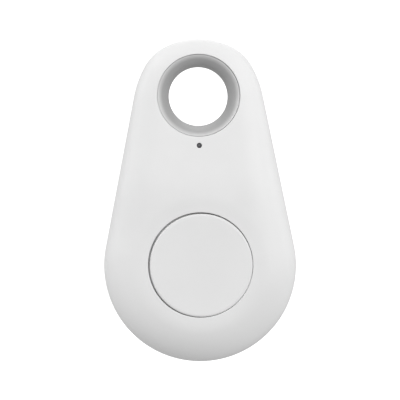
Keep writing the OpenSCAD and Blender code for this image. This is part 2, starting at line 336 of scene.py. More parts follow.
def hex_points(step):
    """A triangular grid over the casing."""
    out, row, y = [], 0, BOTTOM_Y
    while y < TOP_Y:
        x = -LOWER_R + (step / 2 if row % 2 else 0)
        while x < LOWER_R:
            out.append((x, y))
            x += step
        y += step * math.sqrt(3) / 2
        row += 1
    return out


def circle_points(centre, r, n):
    return [(centre[0] + r * math.cos(2 * math.pi * i / n),
             centre[1] + r * math.sin(2 * math.pi * i / n)) for i in range(n)]


OUTER_DEPTHS = [0.02, 0.07, 0.15, 0.25, 0.38, 0.54, 0.72, 0.94, 1.2, 1.5, 1.84, 2.2]
INNER_DEPTHS = [0.01, 0.04, 0.1, 0.2, 0.34, 0.5]
GRID = 0.45


def field(depth, holes, rings):
    """Points inside an inset outline: rings round the holes, and a grid elsewhere.

    holes: (centre, radius), kept clear. rings: (centre, radii, points in each)."""
    clear = [(Vector(c), r + 0.2) for c, r in holes]
    out, grown = [], list(clear)
    for centre, radii, n in rings:
        for r in radii:
            out += [p for p in circle_points(centre, r, n)
                    if all((Vector(p) - c).length > k - 0.15 for c, k in clear)]
        grown.append((Vector(centre), max(radii) + GRID * 0.7))
    out += [p for p in hex_points(GRID)
            if all((Vector(p) - c).length > k for c, k in grown)]
    return [p for p in out if edge_distance(*p)[0] > depth + GRID * 0.5]


def fillet_rings(skin, centre, r, fillet, height, n, steps=5):
    """Loops that roll from a round hole's wall up onto the face, wall first."""
    loops = []
    for k in range(steps + 1):
        turn = math.pi / 2 * k / steps
        rr = r + fillet * (1 - math.cos(turn))
        drop = fillet * (1 - math.sin(turn))
        loops.append(skin.ring(centre, rr, lambda x, y, d=drop: height(x, y) - d, n))
    return loops


def rim_loops(skin):
    """The outside edge at the seam, slightly chamfered, up to where the rounding starts."""
    return [inset_loop(skin, SEAM_CHAMFER, HALF_SEAM), inset_loop(skin, 0.04, 0.05),
            inset_loop(skin, 0.0, SEAM_CHAMFER), inset_loop(skin, 0.0, EDGE_H)]


def stud(skin, spot, r, bore=0.0):
    """A post or screw boss from the inside of the front face down to the board."""
    n = 40
    foot = skin.ring(spot, r, inner_h, n)
    top = skin.ring(spot, r - 0.08, PCB_FRONT, n)
    skin.join(foot, skin.ring(spot, r, PCB_FRONT + 0.08, n), top)
    if bore:
        end = skin.ring(spot, bore, PCB_FRONT + BORE_DEPTH, n)
        skin.join(top, skin.ring(spot, bore, PCB_FRONT, n), end)
        skin.cap(end)
    else:
        skin.cap(top)
    return foot, spot, r


def lip_loops(skin):
    """The rear shell's lip, which reaches past the seam into the front shell."""
    near, far, foot = WALL + LIP_GAP, WALL + LIP_GAP + LIP_W, 1.0
    steps = [(near, HALF_SEAM), (near, LIP_EDGE - LIP_H), (near + LIP_EDGE, -LIP_H),
             (far - LIP_EDGE, -LIP_H), (far, LIP_EDGE - LIP_H), (far, foot), (WALL + 0.02, foot)]
    return [inset_loop(skin, depth, height) for depth, height in steps]


def make_shell(name, front):
    """Outer skin, inner skin and the walls of every opening, as one closed mesh."""
    skin = Skin()
    dip = (lambda x, y: front_h(x, y) - outer_h(x, y)) if front else (lambda x, y: 0)
    top = front_h if front else outer_h
    eye, button, pin = (0, 0), (0, BUTTON_Y), (0, PIN_Y)
    n_eye, n_button, n_pin = 220, 320, 48

    outer = rim_loops(skin) + [skin.loop(inset_height(d, 0, dip)) for d in OUTER_DEPTHS]
    skin.join(*outer)
    eye_loops = fillet_rings(skin, eye, RING_HOLE_R, EYE_FILLET, top, n_eye)
    skin.join(*eye_loops)
    holes = [(eye_loops[-1], eye, RING_HOLE_R + EYE_FILLET)]
    rings = [(eye, [RING_HOLE_R + EYE_FILLET + d for d in (0.25, 0.6, 1.0)], 160)]
    if front:
        button_loops = fillet_rings(skin, button, BUTTON_HOLE_R, BUTTON_FILLET, top, n_button)
        pin_loops = fillet_rings(skin, pin, PIN_R, PIN_FILLET, top, n_pin)
        skin.join(*button_loops)
        skin.join(*pin_loops)
        button_edge = BUTTON_HOLE_R + BUTTON_FILLET
        holes += [(button_loops[-1], button, button_edge), (pin_loops[-1], pin, PIN_R + PIN_FILLET)]
        rings += [(button, [button_edge + 0.3 * k for k in range(1, 10)], 240),
                  (pin, [PIN_R + 0.2, PIN_R + 0.45], 32)]
    depth = OUTER_DEPTHS[-1]
    skin.fill(outer[-1], holes, field(depth, [(c, r) for _, c, r in holes], rings), top)

    # Inner skin, with the collar round the eyelet and, in front, the screw bosses and posts
    start = [inset_loop(skin, WALL + 0.02, HALF_SEAM)] if front else lip_loops(skin)
    inner = start + [skin.loop(inset_height(WALL + d, WALL)) for d in INNER_DEPTHS]
    skin.join(outer[0], *inner)
    collar_end = FRONT_COLLAR_H if front else REAR_COLLAR_H
    collar = skin.ring(eye, COLLAR_R, inner_h, n_eye)
    skin.join(eye_loops[0], skin.ring(eye, RING_HOLE_R, collar_end, n_eye),
              skin.ring(eye, COLLAR_R, collar_end, n_eye), collar)
    holes = [(collar, eye, COLLAR_R)]
    rings = [(eye, [COLLAR_R + 0.4], 120)]
    if front:
        inner_button = skin.ring(button, BUTTON_HOLE_R, inner_h, n_button)
        inner_pin = skin.ring(pin, PIN_R, inner_h, n_pin)
        skin.join(button_loops[0], inner_button)
        skin.join(pin_loops[0], inner_pin)
        holes += [(inner_button, button, BUTTON_HOLE_R), (inner_pin, pin, PIN_R)]
        holes += [stud(skin, (x, SCREW_Y), BOSS_R, BORE_R) for x in (-SCREW_X, SCREW_X)]
        holes += [stud(skin, spot, POST_R) for spot in POST_SPOTS]
    depth = WALL + INNER_DEPTHS[-1]
    skin.fill(inner[-1], holes, field(depth, [(c, r) for _, c, r in holes], rings), inner_h)
    return skin.build(name, mirrored=not front)


def revolve(name, profile, n, centre=(0, 0), sharp=40):
    """Turns an open profile that starts and ends on the axis, or a closed one off it."""
    skin = Skin()
    on_axis = profile[0][0] == 0
    body = profile[1:-1] if on_axis else profile
    loops = [skin.ring(centre, r, z, n) for r, z in body]
    skin.join(*loops)
    if on_axis:
        skin.cap(loops[0], profile[0][1])
        skin.cap(loops[-1], profile[-1][1])
    else:
        skin.join(loops[-1], loops[0])
    return skin.build(name, sharp=sharp)


def from_world(p):
    return Vector((p[0], p[2], -p[1])) / MM


def welded_node(node):
    """A copy of a CAD node's mesh with its split corners joined again."""
    bm = bmesh.new()
    bm.from_mesh(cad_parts[node].data)
    bmesh.ops.remove_doubles(bm, verts=bm.verts, dist=1e-7)
    return bm


def softened(node, bevel, segments=2):
    """A copy of a CAD node with its facets merged and its sharp edges rounded over."""
    bm = welded_node(node)
    flat = math.radians(3)
    bmesh.ops.dissolve_limit(bm, angle_limit=flat, verts=bm.verts, edges=bm.edges)
    edges = [e for e in bm.edges if len(e.link_faces) == 2 and e.calc_face_angle(0) > math.radians(40)]
    bmesh.ops.bevel(bm, geom=edges, offset=bevel * MM, segments=segments, profile=0.5,
                    affect="EDGES", clamp_overlap=True)
    bmesh.ops.triangulate(bm, faces=[f for f in bm.faces if len(f.verts) > 4])
    name = node + "_detail"
    mesh = bpy.data.meshes.new(name)
    bm.to_mesh(mesh)
    bm.free()
    return finish_mesh(name, mesh, 30)


def node_solids(node):
    """The box of each separate solid of a CAD node, as its low and high corners in the tag."""
    bm = welded_node(node)
    left, out = set(bm.verts), []
    while left:
        stack, points = [left.pop()], []
        while stack:
            v = stack.pop()
            points.append(from_world(v.co))
            near = {e.other_vert(v) for e in v.link_edges} & left
            left -= near
            stack += near
        out.append((Vector([min(p[k] for p in points) for k in range(3)]),
                    Vector([max(p[k] for p in points) for k in range(3)])))
    bm.free()
    return sorted(out, key=lambda pair: tuple(pair[0]))


class Blocks:
    """Bevelled blocks gathered into one mesh; each block names the material it takes."""

    def __init__(self):
        self.bm = bmesh.new()

    def add(self, low, high, bevel=0.04, mat=0, turn=0):
        low, high = Vector(low), Vector(high)
        known = set(self.bm.faces)
        verts = bmesh.ops.create_cube(self.bm, size=1)["verts"]
        centre, size = (low + high) / 2, high - low
        spin = Matrix.Rotation(math.radians(turn), 3, "Z")
        for v in verts:
            v.co = centre + spin @ Vector([v.co[k] * size[k] for k in range(3)])
        self.bm.normal_update()
        edges = list({e for v in verts for e in v.link_edges})
        bmesh.ops.bevel(self.bm, geom=edges, offset=bevel, segments=2, profile=0.5, affect="EDGES")
        for f in self.bm.faces:
            if f not in known:
                f.material_index = mat

    def build(self, name):
        for v in self.bm.verts:
            v.co = to_world(v.co)
        mesh = bpy.data.meshes.new(name)
        self.bm.to_mesh(mesh)
        self.bm.free()
        return finish_mesh(name, mesh, 30, weld=False)


# ---------------------------------------------------------------- casing pieces
def make_eyelet_ring():
    """The flared ring; its ends follow the faces of the casing, a little below them."""
    skin, n = Skin(), 220
    foot_h, flare = EYELET_LAND / 2, math.radians(FLARE_TURN)
    flare_w = RING_R - RING_EDGE - EYELET_R
    directions = [heading(360 * i / n) for i in range(n)]

    def drop(d):
        """Depth of the rim below the casing's face; the ring leans, deepest at the upper right."""
        return RING_SUNK + RING_LEAN * d.dot(heading(LEAN_HEADING))

    def side(sign):
        loops = []
        for k in range(FLARE_STEPS + 1):
            turn = flare * k / FLARE_STEPS
            r = EYELET_R + flare_w * (1 - math.cos(turn)) / (1 - math.cos(flare))
            rise = math.sin(turn) / math.sin(flare)
            points = []
            for d in directions:
                rim = outer_h(*(RING_R * d)) - drop(d)
                points.append((*(r * d + RING_SHIFT), sign * (foot_h + (rim - foot_h) * rise)))
            loops.append(skin.loop(points))
        edge_steps = 4
        for k in range(1, edge_steps + 1):
            turn = math.pi / 2 * k / edge_steps
            r = RING_R - RING_EDGE * (1 - math.sin(turn))
            step = RING_EDGE * (1 - math.cos(turn))
            loops.append(skin.loop([(*(r * d + RING_SHIFT), sign * (outer_h(*(r * d)) - drop(d) - step))
                                    for d in directions]))
        return loops

    front, back, edge = side(1), side(-1), 0.05
    flange = [skin.loop([(*(r * d), z) for d in directions]) for r, z in (
        (RING_R, RING_FLANGE_FRONT), (RING_FLANGE_R - edge, RING_FLANGE_FRONT),
        (RING_FLANGE_R, RING_FLANGE_FRONT - edge), (RING_FLANGE_R, RING_FLANGE_BACK + edge),
        (RING_FLANGE_R - edge, RING_FLANGE_BACK), (RING_R, RING_FLANGE_BACK))]
    skin.join(*reversed(front))
    skin.join(front[0], back[0])
    skin.join(*back)
    skin.join(front[-1], *flange, back[-1])
    return skin.build("eyelet_ring_detail")


def make_button():
    """Dished cap with a rounded edge, a flange behind the shell and a nub over the switch."""
    edge, face, skin_t = 0.28, BUTTON_FACE, 1.0
    dish_r = BUTTON_R - edge
    dish = [(dish_r * k / 24, face - DISH_DEPTH * (1 - (k / 24) ** 2)) for k in range(25)]
    flange_z, flange_r, flange_t = 4.15, BUTTON_R + 0.75, 0.5
    under = face - DISH_DEPTH - skin_t
    skirt_r = BUTTON_R - 1
    nub_r, nub_z = 1.5, 2.92
    corner = [(BUTTON_R - edge * (1 - math.sin(math.pi / 2 * k / 6)),
               face - edge * (1 - math.cos(math.pi / 2 * k / 6))) for k in range(1, 7)]
    profile = dish + corner + [
        (BUTTON_R, flange_z), (flange_r - 0.1, flange_z), (flange_r, flange_z - 0.1),
        (flange_r, flange_z - flange_t + 0.1), (flange_r - 0.1, flange_z - flange_t),
        (skirt_r + 0.1, flange_z - flange_t), (skirt_r, flange_z - flange_t + 0.1),
        (skirt_r, under), (nub_r + 0.3, under), (nub_r, under - 0.3), (nub_r, nub_z + 0.1),
        (nub_r - 0.1, nub_z), (0, nub_z)]
    return revolve("button_cap_detail", profile, 256, Vector((0, BUTTON_Y)) + BUTTON_SHIFT)


def make_light_pipe():
    low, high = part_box("light_pipe")
    face = -low.y / MM
    end, r = -high.y / MM, PIN_R - 0.02
    profile = [(0, face), (r * 0.5, face - 0.01), (r - 0.04, face - 0.04), (r, face - 0.1),
               (r, end + 0.05), (r - 0.05, end), (0, end)]
    return revolve("light_pipe_detail", profile, 40, (0, PIN_Y))


def cut(piece, cutter):
    """Takes the cutter out of the piece for good."""
    mod = piece.modifiers.new("cut", "BOOLEAN")
    mod.operation, mod.solver, mod.object = "DIFFERENCE", "EXACT", cutter
    graph = bpy.context.evaluated_depsgraph_get()
    mesh = bpy.data.meshes.new_from_object(piece.evaluated_get(graph))
    piece.modifiers.clear()
    piece.data = mesh
    bpy.data.objects.remove(cutter)
    bm = bmesh.new()
    bm.from_mesh(mesh)
    mark_sharp(bm, 40)
    bm.to_mesh(mesh)
    bm.free()


def make_rear_shell():
    """The rear half with its pry notch at the lower left of the seam."""
    shell = make_shell("rear_shell_detail", False)
    size = Vector(NOTCH_SIZE)
    spot = LOWER_C + LOWER_R * heading(-NOTCH_ANGLE)
    notch = Blocks()
    notch.add(spot.to_3d() - size / 2, spot.to_3d() + size / 2, 0.2, 0, NOTCH_ANGLE)
    cut(shell, notch.build("notch"))
    return shell


# ---------------------------------------------------------------- board pieces
def capped_chips(node, end, bevel=0.04):
    """Chip parts: a body between two metal end caps that stand slightly proud of it."""
    chips, proud = Blocks(), Vector((0.02, 0.02, 0.02))
    for low, high in node_solids(node):
        along = 0 if high.x - low.x > high.y - low.y else 1
        inner_low, inner_high = low + proud, high - proud
        inner_low[along], inner_high[along] = low[along] + end - 0.02, high[along] - end + 0.02
        chips.add(inner_low, inner_high, bevel / 2, 0)
        for first, last in ((low[along], low[along] + end), (high[along] - end, high[along])):
            cap_low, cap_high = low.copy(), high.copy()
            cap_low[along], cap_high[along] = first, last
            chips.add(cap_low, cap_high, bevel, 1)
    return chips.build(node + "_detail")


def make_radio_chip():
    """Square chip with a row of tin lands along each side and a dimple at its first pin."""
    low, high = node_solids("ble_chip")[0]
    chip, pins, land = Blocks(), 8, 0.14
    chip.add(low + Vector((0, 0, 0.05)), high, 0.06, 0)
    pitch = (high.x - low.x - 0.8) / (pins - 1)
    for i in range(pins):
        across = low.x + 0.4 + i * pitch
        up = low.y + 0.4 + i * pitch
        for y in (low.y - 0.04, high.y - 0.36):
            chip.add((across - land, y, low.z), (across + land, y + 0.4, low.z + 0.12), 0.03, 1)
        for x in (low.x - 0.04, high.x - 0.36):
            chip.add((x, up - land, low.z), (x + 0.4, up + land, low.z + 0.12), 0.03, 1)
    piece = chip.build("radio_chip_detail")
    dimple = Skin()
    spot = (low.x + 0.7, high.y - 0.7)
    dimple.turned(spot, [(0.22, high.z + 0.1), (0.2, high.z - 0.03), (0.12, high.z - 0.05)], 24)
    cut(piece, dimple.build("dimple"))
    return piece


def make_crystal(node):
    """A ceramic base with a rounded metal lid, set in from its edge."""
    low, high = node_solids(node)[0]
    can, base_t, step = Blocks(), 0.3, 0.08
    can.add(low, (high.x, high.y, low.z + base_t), 0.05, 1)
    can.add(low + Vector((step, step, base_t - 0.02)), high - Vector((step, step, 0)), 0.14, 0)
    return can.build(node + "_detail")


def make_led():
    """Clear resin over a white base, with a metal terminal at each end."""
    low, high = node_solids("status_led")[0]
    led, base_t, end = Blocks(), 0.2, 0.25
    led.add((low.x + end, low.y, low.z), (high.x - end, high.y, low.z + base_t), 0.03, 1)
    led.add((low.x + end * 0.6, low.y + 0.05, low.z + base_t - 0.02),
            (high.x - end * 0.6, high.y - 0.05, high.z), 0.06, 0)
    for x in (low.x, high.x - end):
        led.add((x, low.y, low.z), (x + end, high.y, low.z + base_t + 0.02), 0.03, 2)
    return led.build("status_led_detail")


def make_antenna():
    """Ceramic block with a metal cap at each end, and the meander printed on top of it."""
    low, high = node_solids("chip_antenna")[0]
    block, end, turns = Blocks(), 0.5, 7
    block.add(low + Vector((0.02, end - 0.02, 0.02)), high - Vector((0.02, end - 0.02, 0.02)), 0.05, 0)
    for y in (low.y, high.y - end):
        block.add((low.x, y, low.z), (high.x, y + end, high.z), 0.06, 1)
    pitch = (high.y - low.y - 2 * end - 0.6) / turns
    line = []
    for i in range(turns + 1):
        y = low.y + end + 0.3 + i * pitch
        sides = (low.x + 0.35, high.x - 0.35)
        line += [(x, y) for x in (sides if i % 2 == 0 else reversed(sides))]
    meander = Skin()
    meander.track(line, 0.12, high.z - 0.04, high.z)
    return block.build("chip_antenna_detail"), meander.build("antenna_meander")


def make_switch_cover():
    """The pressed steel cover with a rivet head at each corner."""
    cover = softened("switch_cover", 0.04)
    low, high = node_solids("switch_cover")[0]
    skin, inset = Skin(), 0.6
    for x in (low.x + inset, high.x - inset):
        for y in (low.y + inset, high.y - inset):
            skin.turned((x, y), [(0.3, high.z - 0.1), (0.3, high.z + 0.06), (0.26, high.z + 0.11),
                                 (0.14, high.z + 0.14)], 20)
    return cover, skin.build("switch_rivets")


def mirror(points):
    return [(-x, y) for x, y in points]


# Tracks and vias, drawn between the parts of the board; paired ones have a twin in mirror image
PAIRED_TRACKS = [
    [(2.7, -13.4), (3.6, -14.3), (3.6, -19), (2.6, -22), (2.6, -24.4)],
    [(2.6, -29.8), (2.6, -31.5), (4, -32.9), (6, -32.9)],
    [(9.6, -20), (9.6, -31), (7.5, -34), (4, -37)]]
FRONT_TRACKS = PAIRED_TRACKS + [mirror(line) for line in PAIRED_TRACKS] + [
    [(-2.7, -11.4), (-3.5, -10.6), (-3.5, -9.2), (-2.7, -9.2)],
    [(2.7, -11.4), (3.4, -10.7), (5.6, -8.5), (6.1, -8.5)],
    [(0, -10), (0, -8.7)],
    [(1.5, -15.2), (1.5, -15.8), (2.1, -16.4)],
    [(-4.5, -30.5), (-7.5, -27.5), (-7.5, -17), (-5, -14.8)],
    [(4.5, -30.5), (7.5, -27.5), (7.5, -18), (4.6, -15.6)]]
BACK_TRACKS = [
    [(-5, -12), (-6.2, -13.2), (-6.2, -15), (-9.2, -18), (-11.6, -20.4), (-11.6, -26)],
    [(5, -12), (6.2, -13.2), (6.2, -15), (9.2, -18), (11.6, -20.4), (11.6, -24)],
    [(-8.6, -10), (-8.6, -8.4), (-7.2, -7)], [(8.6, -10), (8.6, -8.4), (7.2, -7)]]
PAIRED_VIAS = [(6, -32.9), (9.6, -20), (2.2, -20.5), (4, -37), (7.2, -7)]
VIAS = PAIRED_VIAS + mirror(PAIRED_VIAS) + [
    (0, -20.5), (-11.6, -26), (11.6, -24), (0, -36), (-1.8, -34.5)]


def make_tracks():
    """Copper tracks raised under the solder mask on both sides of the board."""
    tracks, w, t = Skin(), 0.22, 0.03
    for line in FRONT_TRACKS:
        tracks.track(line, w, PCB_FRONT - t, PCB_FRONT + t)
    for line in BACK_TRACKS:
        tracks.track(line, w, PCB_BACK - t, PCB_BACK + t)
    return tracks.build("board_tracks")


def make_pads():
    """Tinned lands under the chip parts, and a ring round each via."""
    pads, margin, t = Blocks(), 0.14, 0.03
    for node in ("capacitors", "resistors", "inductors", "status_led", "chip_antenna"):
        for low, high in node_solids(node):
            along = 0 if high.x - low.x > high.y - low.y else 1
            reach = min(0.35, (high[along] - low[along]) * 0.35)
            for first, last in ((low[along] - margin, low[along] + reach),
                                (high[along] - reach, high[along] + margin)):
                a, b = low - Vector((margin / 2,) * 3), high + Vector((margin / 2,) * 3)
                a[along], b[along], a.z, b.z = first, last, PCB_FRONT - t, PCB_FRONT + t
                pads.add(a, b, 0.01)
    lands = pads.build("board_lands")
    rings = Skin()
    for spot in VIAS:
        for z, up in ((PCB_FRONT, 1), (PCB_BACK, -1)):
            loops = [rings.ring(spot, r, z + up * h, 20)
                     for r, h in ((0.3, -t), (0.3, t), (0.13, t), (0.13, -t))]
            rings.join(*loops, loops[0])
    return lands, rings.build("board_vias")


# ---------------------------------------------------------------- coin cell and foam
def corner(r, z, fillet, to_r, to_z, steps=5):
    """A quarter turn round the corner (r, z): it starts on the side that runs along r."""
    cr, cz = r + to_r * fillet, z + to_z * fillet
    return [(cr - to_r * fillet * math.sin(math.pi / 2 * k / steps),
             cz - to_z * fillet * math.cos(math.pi / 2 * k / steps)) for k in range(steps + 1)]


def make_cell_can():
    """Deep-drawn can: a round back edge, a pressed ring in the back, and a lip crimped inwards."""
    back, lip, wall = CELL_BACK, -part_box("cell_can")[0].y / MM, 0.3
    profile = [(0, back + 0.05), (6.7, back + 0.05), (6.9, back), (7.6, back), (7.8, back + 0.04),
               (8.4, back + 0.04), (8.6, back)]
    profile += corner(CELL_R, back, 0.45, -1, 1)
    profile += [(CELL_R, lip - 0.5), (CELL_R - 0.06, lip - 0.25), (CELL_R - 0.2, lip - 0.06),
                (CELL_R - 0.38, lip), (CELL_R - 0.42, lip - 0.08), (CELL_R - wall, lip - 0.4),
                (CELL_R - wall, back + wall), (0, back + wall)]
    return revolve("cell_can_detail", profile, 192, (0, BUTTON_Y), 30)


def make_cell_gasket():
    """The nylon ring in the crimp, which rises just past the can's lip."""
    r, top, t = CELL_R - 0.44, -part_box("cell_gasket")[0].y / MM, 0.44
    base = CELL_BACK + 0.32
    profile = [(r - t, base), (r, base), (r, top - 0.1)] + corner(r, top, 0.08, -1, -1)[::-1]
    profile += corner(r - t, top, 0.08, 1, -1) + [(r - t, base + 0.1)]
    return revolve("cell_gasket_detail", profile, 160, (0, BUTTON_Y), 30)


def make_cell_cap():
    """The stepped negative cap inside the gasket."""
    low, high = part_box("cell_cap")
    r, front = (high.x - low.x) / 2 / MM - 0.02, -low.y / MM
    shoulder = front - 0.2
    profile = [(0, front), (r - 0.62, front), (r - 0.54, front - 0.03), (r - 0.48, front - 0.1),
               (r - 0.4, shoulder + 0.01), (r - 0.3, shoulder)]
    profile += [(r - 0.06, shoulder), (r, shoulder - 0.08), (r, CELL_BACK + 0.34), (0, CELL_BACK + 0.34)]
    return revolve("cell_cap_detail", profile, 160, (0, BUTTON_Y), 30)


def make_foam():
    """A die-cut foam disc: sharp at the glued face, crowned and rough at the other."""
    low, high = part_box("foam_pad")
    r, front, back = (high.x - low.x) / 2 / MM, -low.y / MM, -high.y / MM
    n, skin, loops = 144, Skin(), []
    for rr, z in ((r, back), (r + 0.02, back + 0.3), (r - 0.02, front - 0.16), (r - 0.14, front - 0.04)):
        loops.append(skin.ring((0, BUTTON_Y), rr, z, n))
    for k in range(22):
        rr = (r - 0.3) * (1 - k / 22)
        loops.append(skin.ring((0, BUTTON_Y), rr, lambda x, y: front - 0.03 * foam_pit(x, y), n))
    skin.join(*loops)
    skin.cap(loops[0])
    skin.cap(loops[-1])
    return skin.build("foam_pad_detail", sharp=60)


def foam_pit(x, y):
    """0 on the foam's walls and towards 1 in its open cells."""
    return abs(noise_at(Vector((x * 2.4, y * 2.4, 0.5))))


# ---------------------------------------------------------------- materials
def nodes_of(mat):
    tree = mat.node_tree
    return tree, tree.nodes["Principled BSDF"]


def new_material(name, rough, metal=0.0, spec=0.5):
    mat = bpy.data.materials.new(name)
    mat.use_nodes = True
    tree, bsdf = nodes_of(mat)
    bsdf.inputs["Roughness"].default_value = rough
    bsdf.inputs["Metallic"].default_value = metal
    bsdf.inputs["Specular IOR Level"].default_value = spec
    return mat


def add(tree, kind, **values):
    node = tree.nodes.new(kind)
    for key, value in values.items():
        if key in node.inputs.keys():
            node.inputs[key].default_value = value
        else:
            setattr(node, key, value)
    return node


def place_on_piece(tree, socket):
    """Feeds a socket with the shaded point's place in the piece's own space."""
    tree.links.new(add(tree, "ShaderNodeTexCoord").outputs["Object"], socket)


def noise(tree, scale, detail=2.0, stretch=(1, 1, 1)):
    """Noise in the piece's own space; scale is in lumps per metre."""
    mapping = add(tree, "ShaderNodeMapping")
    mapping.inputs["Scale"].default_value = stretch
    place_on_piece(tree, mapping.inputs["Vector"])
    node = add(tree, "ShaderNodeTexNoise", Scale=scale, Detail=detail)
    tree.links.new(mapping.outputs["Vector"], node.inputs["Vector"])
    return node


def vary(tree, source, low, high, socket, start=0.35, end=0.65):
    """Drives a socket between two colours by a grey value."""
    ramp = add(tree, "ShaderNodeValToRGB")
    ramp.color_ramp.elements[0].position, ramp.color_ramp.elements[0].color = start, (*low, 1)
    ramp.color_ramp.elements[1].position, ramp.color_ramp.elements[1].color = end, (*high, 1)
    tree.links.new(source, ramp.inputs["Fac"])
    tree.links.new(ramp.outputs["Color"], socket)
    return ramp


def roughen(tree, bsdf, source, low, high):
    span = add(tree, "ShaderNodeMapRange")
    for key, value in (("From Min", 0.3), ("From Max", 0.7), ("To Min", low), ("To Max", high)):
        span.inputs[key].default_value = value
    tree.links.new(source, span.inputs["Value"])
    tree.links.new(span.outputs["Result"], bsdf.inputs["Roughness"])


def bump(tree, bsdf, source, strength, distance):
    node = add(tree, "ShaderNodeBump", Strength=strength, Distance=distance)
    tree.links.new(source, node.inputs["Height"])
    tree.links.new(node.outputs["Normal"], bsdf.inputs["Normal"])


def moulded(name, colour, rough=0.45, grain=9000, depth=0.000004, spread=0.012):
    """Moulded plastic: fine spark-eroded grain, with faint flow marks in tone and gloss."""
    mat = new_material(name, rough)
    tree, bsdf = nodes_of(mat)
    flow = noise(tree, 120, 3)
    low = [max(0, c * (1 - spread)) for c in colour]
    high = [min(1, c * (1 + spread)) for c in colour]
    vary(tree, flow.outputs["Fac"], low, high, bsdf.inputs["Base Color"])
    fine = noise(tree, grain, 2)
    roughen(tree, bsdf, fine.outputs["Fac"], rough - 0.05, rough + 0.05)
    bump(tree, bsdf, fine.outputs["Fac"], 0.25, depth)
    return mat


def radius_from(tree, centre_z):
    """Distance from an axis that runs along Y through (0, centre_z), in metres."""
    moved = add(tree, "ShaderNodeVectorMath", operation="SUBTRACT")
    moved.inputs[1].default_value = (0, 0, centre_z)
    flat = add(tree, "ShaderNodeVectorMath", operation="MULTIPLY")
    flat.inputs[1].default_value = (1, 0, 1)
    length = add(tree, "ShaderNodeVectorMath", operation="LENGTH")
    place_on_piece(tree, moved.inputs[0])
    tree.links.new(moved.outputs["Vector"], flat.inputs[0])
    tree.links.new(flat.outputs["Vector"], length.inputs[0])
    return length.outputs["Value"]


def ring_plastic():
    """Grey satin plastic with painted shade: a deep grey in the bore grading to a lighter grey at the
    rims, standing in for the shade that deepens into the eyelet.
    """
    mat = moulded("grey_abs_ring_painted_shade", RING_SHADED_GREY, rough=0.4)
    tree, bsdf = nodes_of(mat)
    # Painted shade: the colour runs from the darker grey deep in the bore to the lighter grey at the
    # rims, by distance from the eyelet's axis
    span = add(tree, "ShaderNodeMapRange")
    span.inputs["From Min"].default_value = EYELET_R * MM
    span.inputs["From Max"].default_value = RING_R * MM
    tree.links.new(radius_from(tree, 0), span.inputs["Value"])
    vary(tree, span.outputs["Result"], RING_SHADED_GREY, RING_RIM_LIT_GREY, bsdf.inputs["Base Color"], 0.6, 0.9)
    return mat


def metal(name, colour, rough=0.3, brush=(1, 1, 1), scale=3000):
    """Metal with drawn or rolled marks; brush is how much finer they are along each axis."""
    mat = new_material(name, rough, 1.0)
    tree, bsdf = nodes_of(mat)
    marks = noise(tree, scale, 3, brush).outputs["Fac"]
    finish_metal(tree, bsdf, marks, colour, rough)
    return mat


def turned_metal(name, colour, rough=0.3, scale=9000):
    """Metal with fine concentric marks round the middle of the coin cell."""
    mat = new_material(name, rough, 1.0)
    tree, bsdf = nodes_of(mat)
    marks = add(tree, "ShaderNodeTexNoise", noise_dimensions="1D", Scale=scale, Detail=2)
    tree.links.new(radius_from(tree, BUTTON_Y * MM), marks.inputs["W"])
    finish_metal(tree, bsdf, marks.outputs["Fac"], colour, rough)
    return mat


def finish_metal(tree, bsdf, marks, colour, rough):
    low, high = [c * 0.84 for c in colour], [min(1, c * 1.08) for c in colour]
    vary(tree, marks, low, high, bsdf.inputs["Base Color"])
    roughen(tree, bsdf, marks, max(0.05, rough - 0.08), rough + 0.1)
    bump(tree, bsdf, marks, 0.3, 0.000002)


def solder_mask(name, colour, edge):
    """Glossy mask over a faint glass weave; the sawn sides of the board show bare laminate."""
    mat = new_material(name, 0.28)
    tree, bsdf = nodes_of(mat)
    waves = []
    for direction in ("X", "Z"):
        wave = add(tree, "ShaderNodeTexWave", bands_direction=direction, Scale=630, Distortion=0.6)
        place_on_piece(tree, wave.inputs["Vector"])
        waves.append(wave)
    weave = add(tree, "ShaderNodeMath", operation="MULTIPLY")
    tree.links.new(waves[0].outputs["Fac"], weave.inputs[0])
    tree.links.new(waves[1].outputs["Fac"], weave.inputs[1])
    tone = vary(tree, noise(tree, 260, 3).outputs["Fac"], [c * 0.75 for c in colour], colour,
                bsdf.inputs["Base Color"])
    where = add(tree, "ShaderNodeTexCoord")
    split = add(tree, "ShaderNodeSeparateXYZ")
    facing = add(tree, "ShaderNodeMath", operation="ABSOLUTE")
    side = add(tree, "ShaderNodeMath", operation="LESS_THAN")
    side.inputs[1].default_value = 0.5
    mix = add(tree, "ShaderNodeMix", data_type="RGBA")
    mix.inputs["B"].default_value = (*edge, 1)
    tree.links.new(where.outputs["Normal"], split.inputs[0])
    tree.links.new(split.outputs["Y"], facing.inputs[0])
    tree.links.new(facing.outputs["Value"], side.inputs[0])
    tree.links.new(side.outputs["Value"], mix.inputs["Factor"])
    tree.links.new(tone.outputs["Color"], mix.inputs["A"])
    tree.links.new(mix.outputs["Result"], bsdf.inputs["Base Color"])
    bump(tree, bsdf, weave.outputs["Value"], 0.25, 0.000006)
    return mat


def cellular(name, colour):
    """Open-cell foam: dark pits between paler cell walls."""
    mat = new_material(name, 0.9, spec=0.2)
    tree, bsdf = nodes_of(mat)
    cells = add(tree, "ShaderNodeTexVoronoi", Scale=2600)
    place_on_piece(tree, cells.inputs["Vector"])
    vary(tree, cells.outputs["Distance"], colour, [c * 0.25 for c in colour],
         bsdf.inputs["Base Color"], 0.2, 0.7)
    bump(tree, bsdf, cells.outputs["Distance"], 0.8, 0.00006)
    return mat


def clear_resin(name, colour, rough, let_through):
    """Tinted see-through plastic with faint flow marks."""
    mat = new_material(name, rough)
    tree, bsdf = nodes_of(mat)
    bsdf.inputs["Transmission Weight"].default_value = let_through
    bsdf.inputs["IOR"].default_value = 1.5
    flow = noise(tree, 900, 2).outputs["Fac"]
    vary(tree, flow, [c * 0.9 for c in colour], colour, bsdf.inputs["Base Color"])
    roughen(tree, bsdf, flow, rough * 0.7, rough * 1.3)
    return mat


